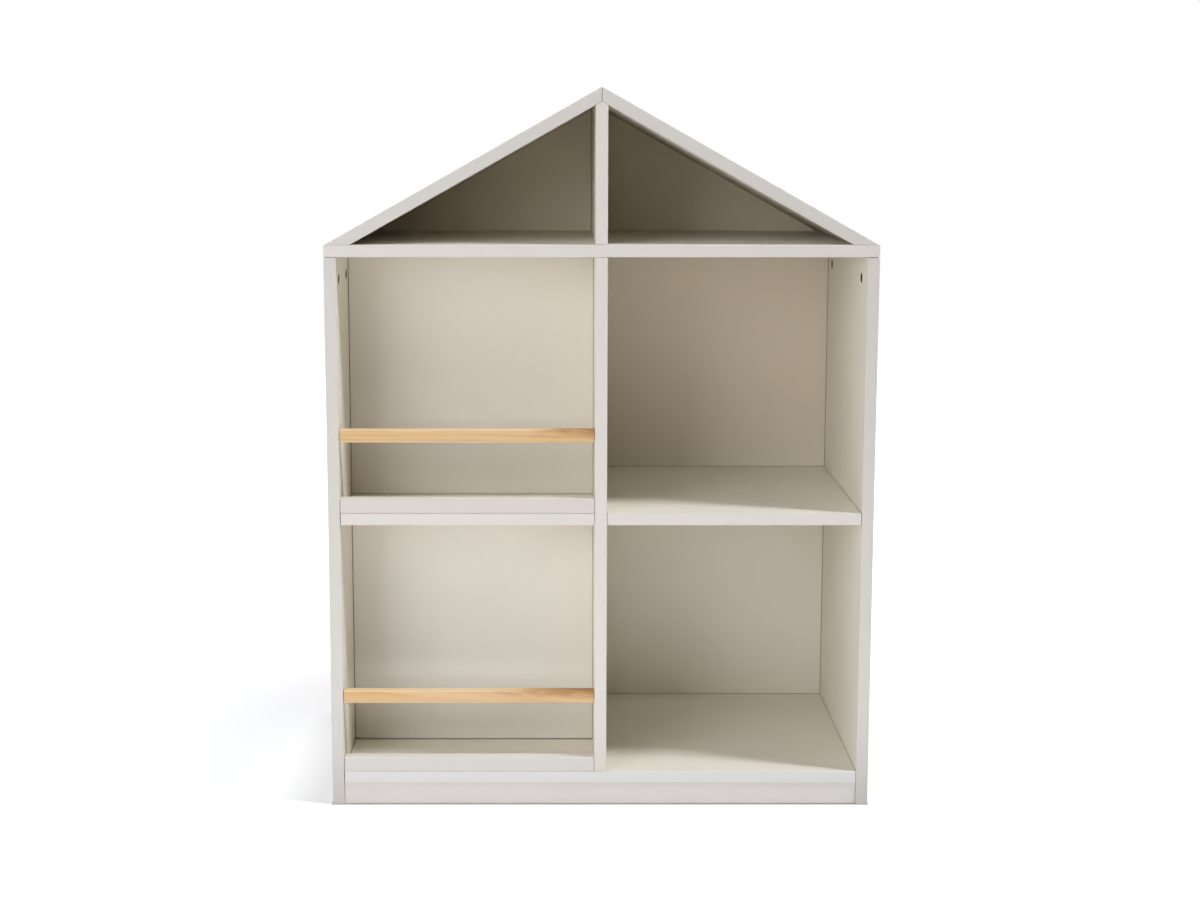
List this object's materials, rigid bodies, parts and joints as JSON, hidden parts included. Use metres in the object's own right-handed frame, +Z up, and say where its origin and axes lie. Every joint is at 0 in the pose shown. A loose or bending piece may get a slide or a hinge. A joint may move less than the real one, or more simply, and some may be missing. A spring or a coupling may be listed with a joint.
{
  "type": "house shaped bookcase",
  "caption": "Child's bookcase shaped like a house: open cubes on one side, shallow cells with rails for face-out picture books on the other, and an attic under a gable roof.",
  "frame": {"origin": "on the floor, under the middle of the bookcase", "axes": "+X to the right seen from the front, +Y to the back, +Z up; the front faces -Y"},
  "size_m": [0.81, 0.38, 1.075],
  "materials": {
    "coated_board": "satin off-white coating on chipboard, edges banded alike",
    "coated_sheet": "thin fibreboard with an off-white satin face",
    "pine": "clear matt lacquer on straight-grained pine",
    "beech": "plain turned dowel",
    "zinc": "dull die-cast zinc",
    "steel": "bright zinc plate"
  },
  "bodies": {
    "root": {"side_panel_left": "coated_board", "side_panel_right": "coated_board", "base_panel": "coated_board", "front_plinth": "coated_board", "rear_plinth": "coated_board", "centre_divider": "coated_board", "cube_shelf": "coated_board", "book_shelf": "coated_board", "lower_lip": "coated_board", "upper_lip": "coated_board", "eaves_board": "coated_board", "attic_divider": "coated_board", "roof_board_left": "coated_board", "roof_board_right": "coated_board", "lower_rail": "pine", "upper_rail": "pine", "main_back": "coated_sheet", "book_back": "coated_sheet", "attic_back": "coated_sheet", "side_panel_cams": "zinc", "divider_cams": "zinc", "attic_divider_cams": "zinc", "base_cams": "zinc", "cube_shelf_cams": "zinc", "book_shelf_cams": "zinc", "ridge_cams": "zinc", "side_panel_bolts": "steel", "divider_bolts": "steel", "base_bolts": "steel", "cube_shelf_bolts": "steel", "book_shelf_bolts": "steel", "ridge_bolts": "steel", "divider_screws": "steel", "lip_screws": "steel", "roof_foot_screws": "steel", "main_back_screws": "steel", "book_back_screws": "steel", "attic_back_screws": "steel", "side_panel_dowels": "beech", "divider_dowels": "beech", "attic_divider_dowels": "beech", "base_dowels": "beech", "cube_shelf_dowels": "beech", "book_shelf_dowels": "beech", "plinth_dowels": "beech", "roof_foot_dowels": "beech", "rail_pins": "beech"}
  },
  "joints": []
}
